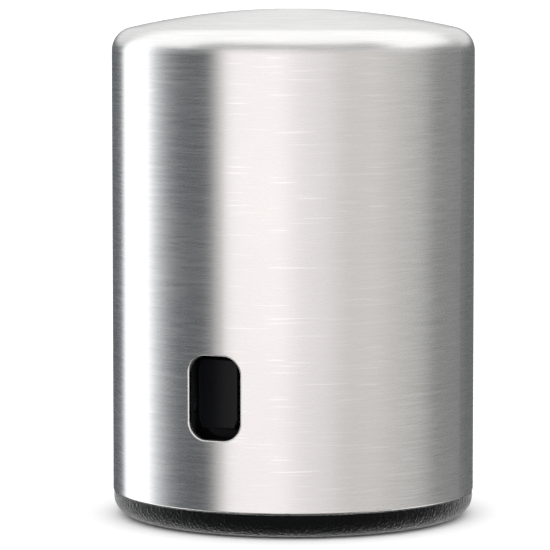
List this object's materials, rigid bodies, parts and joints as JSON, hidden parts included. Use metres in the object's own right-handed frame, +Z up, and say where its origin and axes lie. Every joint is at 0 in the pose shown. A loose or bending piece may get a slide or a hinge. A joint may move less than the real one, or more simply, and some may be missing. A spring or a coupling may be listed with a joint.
{
  "type": "bottle stopper",
  "caption": "Press-on sparkling-wine bottle stopper: brushed steel domed can, black base ring, sprung seal and a side button that slides the collar latch.",
  "frame": {"origin": "centre of the face it stands on", "axes": "+Z up along the can's axis, the button faces -Y"},
  "size_m": [0.046, 0.046, 0.0644],
  "materials": {
    "brushed_shell": "fine circumferential brushing",
    "plate_steel": "rolled stainless sheet, tumbled edges",
    "steel_hardware": "bright zinc plate",
    "spring_steel": "drawn stainless wire",
    "black_moulding": "fine moulded texture",
    "black_ring": "satin moulded",
    "black_gloss": "gloss moulded",
    "black_rubber": "matt elastomer",
    "seal_silicone": "satin silicone"
  },
  "bodies": {
    "cap": {"outer_shell": "brushed_shell", "shell_stud": "steel_hardware", "stud_washer": "steel_hardware", "stud_nut": "steel_hardware", "spring_cap": "black_moulding", "cap_o_ring": "black_rubber", "spring_seat": "steel_hardware", "main_spring": "spring_steel", "housing": "black_moulding", "housing_screws": "steel_hardware", "latch_base": "black_moulding", "backing_plate": "plate_steel", "base_screws": "steel_hardware", "base_ring": "black_ring", "foot_pad": "black_rubber", "latch_spring_left": "spring_steel", "latch_spring_right": "spring_steel"},
    "latch": {"latch_plate": "plate_steel", "release_button": "black_gloss", "button_pin": "steel_hardware"},
    "plunger": {"seal_carrier": "black_moulding", "seal_backing_disc": "plate_steel", "seal": "seal_silicone", "seal_washer": "plate_steel", "seal_screw": "steel_hardware"}
  },
  "joints": [
    {"name": "button_press", "type": "slide", "parent": "cap", "child": "latch", "axis": [0, 1, 0], "range_m": [0, 0.002], "stiffness_N_per_m": 2300, "springref_m": -0.002, "deforming": ["latch_spring_left", "latch_spring_right"]},
    {"name": "seal_lift", "type": "slide", "parent": "cap", "child": "plunger", "axis": [0, 0, 1], "range_m": [0, 0.004], "stiffness_N_per_m": 1020, "springref_m": -0.013, "deforming": ["main_spring"]}
  ]
}
